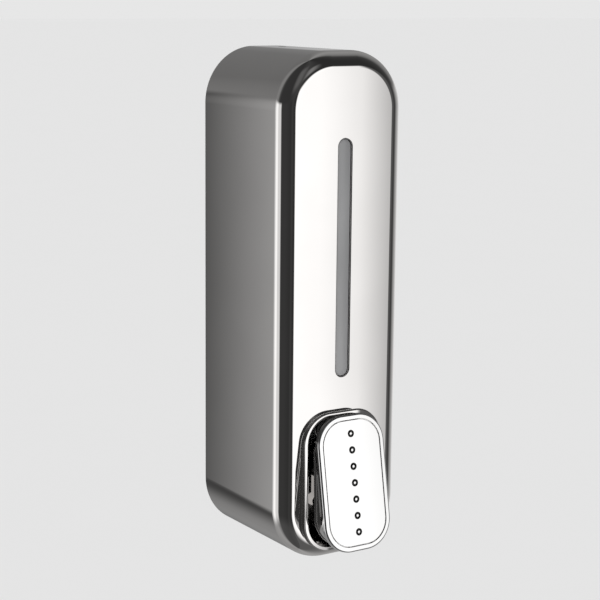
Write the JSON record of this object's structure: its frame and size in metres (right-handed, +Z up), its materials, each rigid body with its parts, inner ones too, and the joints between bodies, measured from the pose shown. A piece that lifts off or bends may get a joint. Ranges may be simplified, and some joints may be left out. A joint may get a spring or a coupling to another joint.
{
  "type": "wall mounted soap dispenser",
  "caption": "Tall chromed wall dispenser for liquid soap: rounded case that swings down, slit level window, tilted push button, piston pump and refillable reservoir.",
  "frame": {"origin": "centre of the face that lies on the wall, at mid height of the case", "axes": "+Z up, +Y into the wall, so -Y points out of the wall towards the user; X across"},
  "size_m": [0.06, 0.0805, 0.2185],
  "materials": {
    "chrome_case": "bright chrome plating on ABS",
    "chrome_button": "bright chrome plating on ABS",
    "smoked_window": "smoked clear plastic",
    "white_plastic": "moulded ABS",
    "tank_plastic": "natural translucent polyethylene",
    "grey_plastic": "moulded acetal",
    "dark_plastic": "moulded polypropylene",
    "rubber": "nitrile rubber",
    "steel": "stainless steel",
    "zinc": "nickel plated zinc casting"
  },
  "bodies": {
    "wall_unit": {"back_plate": "white_plastic", "hinge_pin": "steel", "lock_strike": "steel", "reservoir": "tank_plastic", "reservoir_lid": "tank_plastic", "lid_gasket": "rubber", "tank_screws": "steel", "pump_body": "dark_plastic", "inlet_seal": "rubber", "inlet_ball": "steel", "outlet_valve": "rubber", "nozzle": "dark_plastic", "duct_plug": "dark_plastic", "pump_cap": "dark_plastic", "pump_screws": "steel", "pump_spring": "steel"},
    "cap": {"filler_cap": "grey_plastic", "cap_seal": "rubber"},
    "plunger": {"piston": "dark_plastic", "piston_seal": "rubber"},
    "case": {"cover": "chrome_case", "window": "smoked_window", "button_pin": "steel", "lock_collar": "grey_plastic"},
    "push_button": {"button": "chrome_button", "button_face": "chrome_button", "button_lever": "dark_plastic", "lever_screws": "steel"},
    "lock": {"lock_barrel": "zinc", "lock_cam": "steel", "cam_screw": "steel"}
  },
  "joints": [
    {"name": "cover_swing", "type": "hinge", "parent": "wall_unit", "child": "case", "pos_m": [0, -0.0085, -0.1005], "axis": [1, 0, 0], "range_deg": [0, 75]},
    {"name": "button_press", "type": "hinge", "parent": "case", "child": "push_button", "pos_m": [0, -0.06, -0.0472], "axis": [1, 0, 0], "range_deg": [0, 9], "stiffness_Nm_per_rad": 1.2, "springref_deg": -4.58},
    {"name": "piston_slide", "type": "slide", "parent": "wall_unit", "child": "plunger", "axis": [0, 1, 0], "range_m": [0, 0.00517], "deforming": ["pump_spring"]},
    {"name": "cap_lift", "type": "slide", "parent": "wall_unit", "child": "cap", "axis": [0, 0, 1], "range_m": [0, 0.005]},
    {"name": "lock_turn", "type": "hinge", "parent": "case", "child": "lock", "pos_m": [0, -0.016, 0.1], "axis": [0, 0, 1], "range_deg": [0, 90]}
  ],
  "couplings": [
    {"joint": "piston_slide", "follows": "button_press", "m_per_rad": 0.0328}
  ]
}
